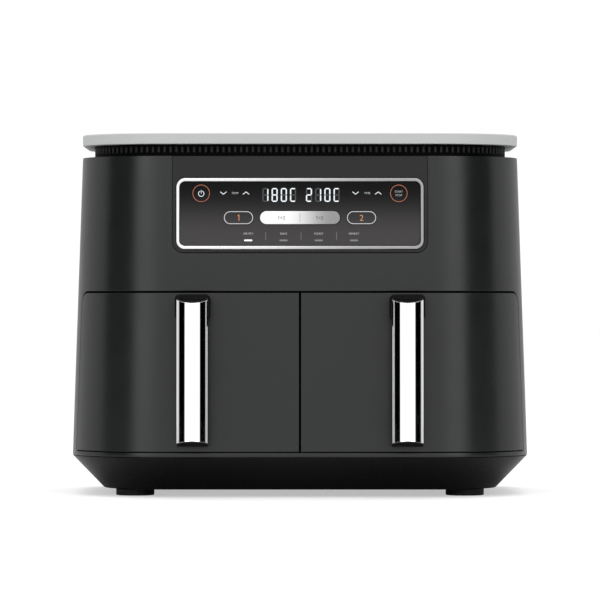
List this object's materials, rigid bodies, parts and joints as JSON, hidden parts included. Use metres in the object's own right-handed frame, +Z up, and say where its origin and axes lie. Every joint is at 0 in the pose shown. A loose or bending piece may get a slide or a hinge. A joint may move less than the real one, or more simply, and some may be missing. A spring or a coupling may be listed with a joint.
{
  "type": "dual-drawer air fryer",
  "caption": "Countertop air fryer with side-by-side slide-out drawers, upright bright handles, a glossy control panel and a flat grey top.",
  "frame": {"origin": "on the floor under the middle of the whole object, handles included", "axes": "+X to the right as seen from the front, +Y to the rear, +Z up; the drawers and the panel face -Y"},
  "size_m": [0.4126, 0.3147, 0.325],
  "materials": {
    "graphite_shell": "satin moulded graphite plastic",
    "fascia": "satin moulded dark grey plastic",
    "base_black": "satin black plastic",
    "black_trim": "black plastic",
    "lid_grey": "satin light grey plastic",
    "chrome": "polished",
    "silver_key": "satin silver",
    "copper_key": "satin copper",
    "lens": "gloss smoked black",
    "display": "lit segments",
    "circuit_board": "solder resist",
    "liner_steel": "pressed sheet steel",
    "nonstick": "dark non-stick coating",
    "heater_steel": "heat-tinted steel",
    "motor_steel": "zinc-plated steel",
    "rubber": "soft black rubber",
    "screw_steel": "zinc-plated steel"
  },
  "bodies": {
    "housing": {"outer_housing": "graphite_shell", "control_fascia": "fascia", "base_tray": "base_black", "vent_neck": "black_trim", "top_deck": "black_trim", "rear_cover": "black_trim", "cord_gland": "black_trim", "front_surround": "black_trim", "drawer_switch_left": "black_trim", "drawer_switch_right": "black_trim", "top_plate": "lid_grey", "bezel_ring": "chrome", "display_lens": "lens", "display_module": "display", "control_board": "circuit_board", "power_board": "circuit_board", "cavity_liner_left": "liner_steel", "cavity_liner_right": "liner_steel", "reflector_left": "liner_steel", "reflector_right": "liner_steel", "guard_grille_left": "liner_steel", "guard_grille_right": "liner_steel", "heater_left": "heater_steel", "heater_right": "heater_steel", "motor_left": "motor_steel", "motor_right": "motor_steel", "temp_sensor_left": "motor_steel", "temp_sensor_right": "motor_steel", "foot_front_left": "rubber", "foot_front_right": "rubber", "foot_rear_left": "rubber", "foot_rear_right": "rubber", "rear_screw_left": "screw_steel", "rear_screw_right": "screw_steel"},
    "drawer_left": {"drawer_front_left": "graphite_shell", "drawer_frame_left": "black_trim", "basket_left": "nonstick", "handle_core_left": "black_trim", "handle_cover_left": "chrome", "handle_screw_left": "screw_steel"},
    "crisper_left": {"crisper_plate_left": "nonstick"},
    "fan_left": {"fan_shaft_left": "motor_steel", "hot_fan_left": "liner_steel", "cooling_fan_left": "black_trim"},
    "drawer_right": {"drawer_front_right": "graphite_shell", "drawer_frame_right": "black_trim", "basket_right": "nonstick", "handle_core_right": "black_trim", "handle_cover_right": "chrome", "handle_screw_right": "screw_steel"},
    "crisper_right": {"crisper_plate_right": "nonstick"},
    "fan_right": {"fan_shaft_right": "motor_steel", "hot_fan_right": "liner_steel", "cooling_fan_right": "black_trim"},
    "power_key_body": {"power_key": "copper_key"},
    "start_key_body": {"start_key": "copper_key"},
    "zone_key_left_body": {"zone_key_left": "silver_key"},
    "zone_key_right_body": {"zone_key_right": "silver_key"},
    "sync_match_key_body": {"sync_match_key": "silver_key"}
  },
  "joints": [
    {"name": "drawer_left_slide", "type": "slide", "parent": "housing", "child": "drawer_left", "axis": [0, -1, 0], "range_m": [0, 0.23]},
    {"name": "crisper_left_lift", "type": "slide", "parent": "drawer_left", "child": "crisper_left", "axis": [0, 0, 1], "range_m": [0, 0.11]},
    {"name": "fan_left_spin", "type": "hinge", "parent": "housing", "child": "fan_left", "pos_m": [-0.097, 0.03745, 0.195], "axis": [0, 0, 1], "continuous": true},
    {"name": "drawer_right_slide", "type": "slide", "parent": "housing", "child": "drawer_right", "axis": [0, -1, 0], "range_m": [0, 0.23]},
    {"name": "crisper_right_lift", "type": "slide", "parent": "drawer_right", "child": "crisper_right", "axis": [0, 0, 1], "range_m": [0, 0.11]},
    {"name": "fan_right_spin", "type": "hinge", "parent": "housing", "child": "fan_right", "pos_m": [0.097, 0.03745, 0.195], "axis": [0, 0, 1], "continuous": true},
    {"name": "power_key_press", "type": "slide", "parent": "housing", "child": "power_key_body", "axis": [0, 0.9994, -0.0344], "range_m": [0, 0.001], "stiffness_N_per_m": 400},
    {"name": "start_key_press", "type": "slide", "parent": "housing", "child": "start_key_body", "axis": [0, 0.9994, -0.0344], "range_m": [0, 0.001], "stiffness_N_per_m": 400},
    {"name": "zone_key_left_press", "type": "slide", "parent": "housing", "child": "zone_key_left_body", "axis": [0, 0.9994, -0.0344], "range_m": [0, 0.001], "stiffness_N_per_m": 400},
    {"name": "zone_key_right_press", "type": "slide", "parent": "housing", "child": "zone_key_right_body", "axis": [0, 0.9994, -0.0344], "range_m": [0, 0.001], "stiffness_N_per_m": 400},
    {"name": "sync_match_rock", "type": "hinge", "parent": "housing", "child": "sync_match_key_body", "pos_m": [0, -0.10296, 0.24905], "axis": [0, 0.0344, 0.9994], "range_deg": [-1.5, 1.5], "stiffness_Nm_per_rad": 0.4}
  ]
}
